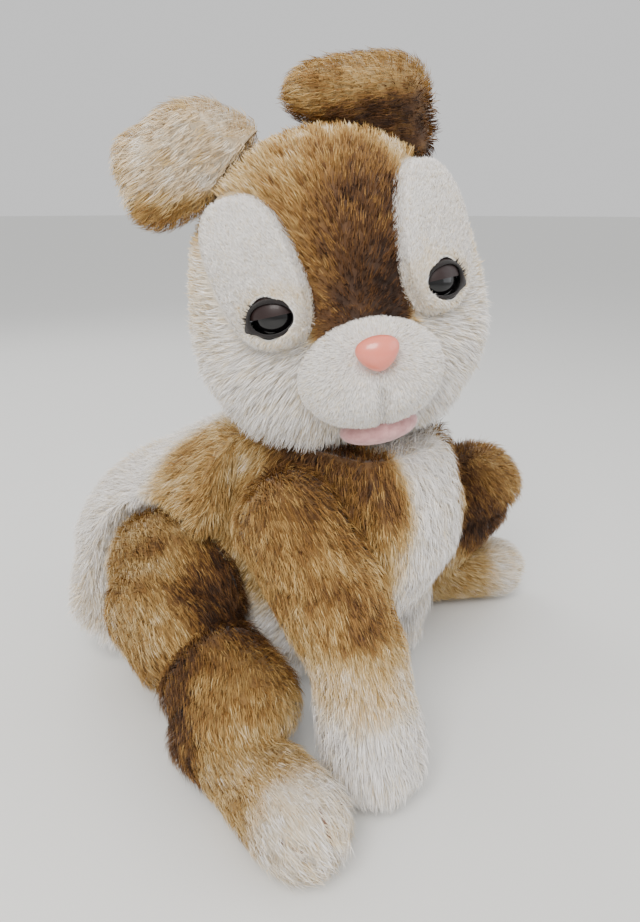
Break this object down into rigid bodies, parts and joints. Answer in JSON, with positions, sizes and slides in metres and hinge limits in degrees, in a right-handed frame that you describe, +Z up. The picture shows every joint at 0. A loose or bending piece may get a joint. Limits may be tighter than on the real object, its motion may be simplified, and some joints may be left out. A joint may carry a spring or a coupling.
{
  "type": "interactive plush pet",
  "caption": "Sitting plush rabbit with turning head, blinking eyes, drooping ears, jointed legs, touch buttons and a battery base.",
  "frame": {"origin": "middle of the underside of the base plate, where the rabbit rests on a surface", "axes": "+Z up, the rabbit's body faces -Y, its right side is -X"},
  "size_m": [0.4276, 0.4158, 0.4691],
  "materials": {
    "cream_plush": "long pile, cream",
    "tan_plush": "long pile, tan with brown shading",
    "white_plush": "short dense pile, white",
    "pink_felt": "felt, dull pink",
    "nose_plastic": "gloss, salmon pink",
    "eye_gloss": "high gloss, black",
    "lid_plastic": "satin, dark brown",
    "dark_plastic": "fine texture, charcoal",
    "grey_plastic": "satin, grey",
    "ivory_plastic": "satin, ivory",
    "red_plastic": "satin, red",
    "steel": "zinc plated",
    "cell_jacket": "gloss sleeve",
    "board_green": "solder mask",
    "board_black": "moulded"
  },
  "bodies": {
    "torso": {"torso_plush": "cream_plush", "tail": "cream_plush", "base_plate": "dark_plastic", "base_screws": "steel", "battery_box": "dark_plastic", "batteries": "cell_jacket", "battery_contacts": "steel", "chassis_left": "grey_plastic", "chassis_right": "grey_plastic", "chassis_screws": "steel", "circuit_board": "board_green", "board_parts": "board_black", "speaker": "dark_plastic", "switch_housing": "dark_plastic", "neck_motor": "grey_plastic", "neck_post": "ivory_plastic", "back_sensor_housing": "dark_plastic"},
    "cover": {"battery_cover": "dark_plastic", "battery_screw": "steel"},
    "switch": {"power_slider": "ivory_plastic"},
    "back_touch": {"back_button": "red_plastic"},
    "head": {"head_plush": "tan_plush", "muzzle_plush": "white_plush", "nose": "nose_plastic", "mouth_felt": "pink_felt", "eye_patch_right": "white_plush", "eye_patch_left": "white_plush", "skull_front": "ivory_plastic", "skull_back": "ivory_plastic", "skull_screws": "steel", "eyeball_right": "eye_gloss", "eyeball_left": "eye_gloss", "neck_socket": "dark_plastic", "neck_shaft": "steel", "head_sensor_housing": "dark_plastic", "blink_motor": "grey_plastic"},
    "head_touch": {"head_button": "red_plastic"},
    "eyelids": {"eyelid_right": "lid_plastic", "eyelid_left": "lid_plastic", "lid_axle": "steel"},
    "ear_right": {"ear_right_plush": "tan_plush", "ear_right_hinge": "ivory_plastic"},
    "ear_left": {"ear_left_plush": "tan_plush", "ear_left_hinge": "ivory_plastic"},
    "front_leg_right": {"front_leg_right_plush": "tan_plush", "front_leg_right_joint": "ivory_plastic"},
    "front_leg_left": {"front_leg_left_plush": "tan_plush", "front_leg_left_joint": "ivory_plastic"},
    "hind_leg_right": {"hind_leg_right_plush": "tan_plush", "hind_leg_right_joint": "ivory_plastic"},
    "hind_leg_left": {"hind_leg_left_plush": "tan_plush", "hind_leg_left_joint": "ivory_plastic"}
  },
  "joints": [
    {"name": "head_turn", "type": "hinge", "parent": "torso", "child": "head", "pos_m": [0, -0.108, 0.228], "axis": [0, 0, 1], "range_deg": [-15, 80]},
    {"name": "blink", "type": "hinge", "parent": "head", "child": "eyelids", "pos_m": [-0.04856, -0.15845, 0.32683], "axis": [0.7237, -0.6632, 0.1908], "range_deg": [-20, 44]},
    {"name": "head_press", "type": "slide", "parent": "head", "child": "head_touch", "axis": [0.1407, -0.1289, -0.9816], "range_m": [0, 0.002], "stiffness_N_per_m": 300},
    {"name": "ear_right_flop", "type": "hinge", "parent": "head", "child": "ear_right", "pos_m": [-0.05488, -0.04686, 0.39277], "axis": [0.6756, 0.7373, 0], "range_deg": [-8, 10]},
    {"name": "ear_left_flop", "type": "hinge", "parent": "head", "child": "ear_left", "pos_m": [0.04065, -0.1344, 0.41796], "axis": [0.6756, 0.7373, 0], "range_deg": [0, 24]},
    {"name": "shoulder_right", "type": "hinge", "parent": "torso", "child": "front_leg_right", "pos_m": [-0.048, -0.122, 0.178], "axis": [-1, 0, 0], "range_deg": [0, 70]},
    {"name": "shoulder_left", "type": "hinge", "parent": "torso", "child": "front_leg_left", "pos_m": [0.048, -0.122, 0.178], "axis": [-1, 0, 0], "range_deg": [0, 70]},
    {"name": "hip_right", "type": "hinge", "parent": "torso", "child": "hind_leg_right", "pos_m": [-0.06, -0.005, 0.088], "axis": [-1, 0, 0], "range_deg": [0, 10]},
    {"name": "hip_left", "type": "hinge", "parent": "torso", "child": "hind_leg_left", "pos_m": [0.06, -0.005, 0.088], "axis": [-1, 0, 0], "range_deg": [0, 10]},
    {"name": "cover_lift", "type": "slide", "parent": "torso", "child": "cover", "axis": [0, 0, -1], "range_m": [0, 0.03]},
    {"name": "power_slide", "type": "slide", "parent": "torso", "child": "switch", "axis": [1, 0, 0], "range_m": [0, 0.005]},
    {"name": "back_press", "type": "slide", "parent": "torso", "child": "back_touch", "axis": [0, -1, 0], "range_m": [0, 0.002], "stiffness_N_per_m": 300}
  ]
}
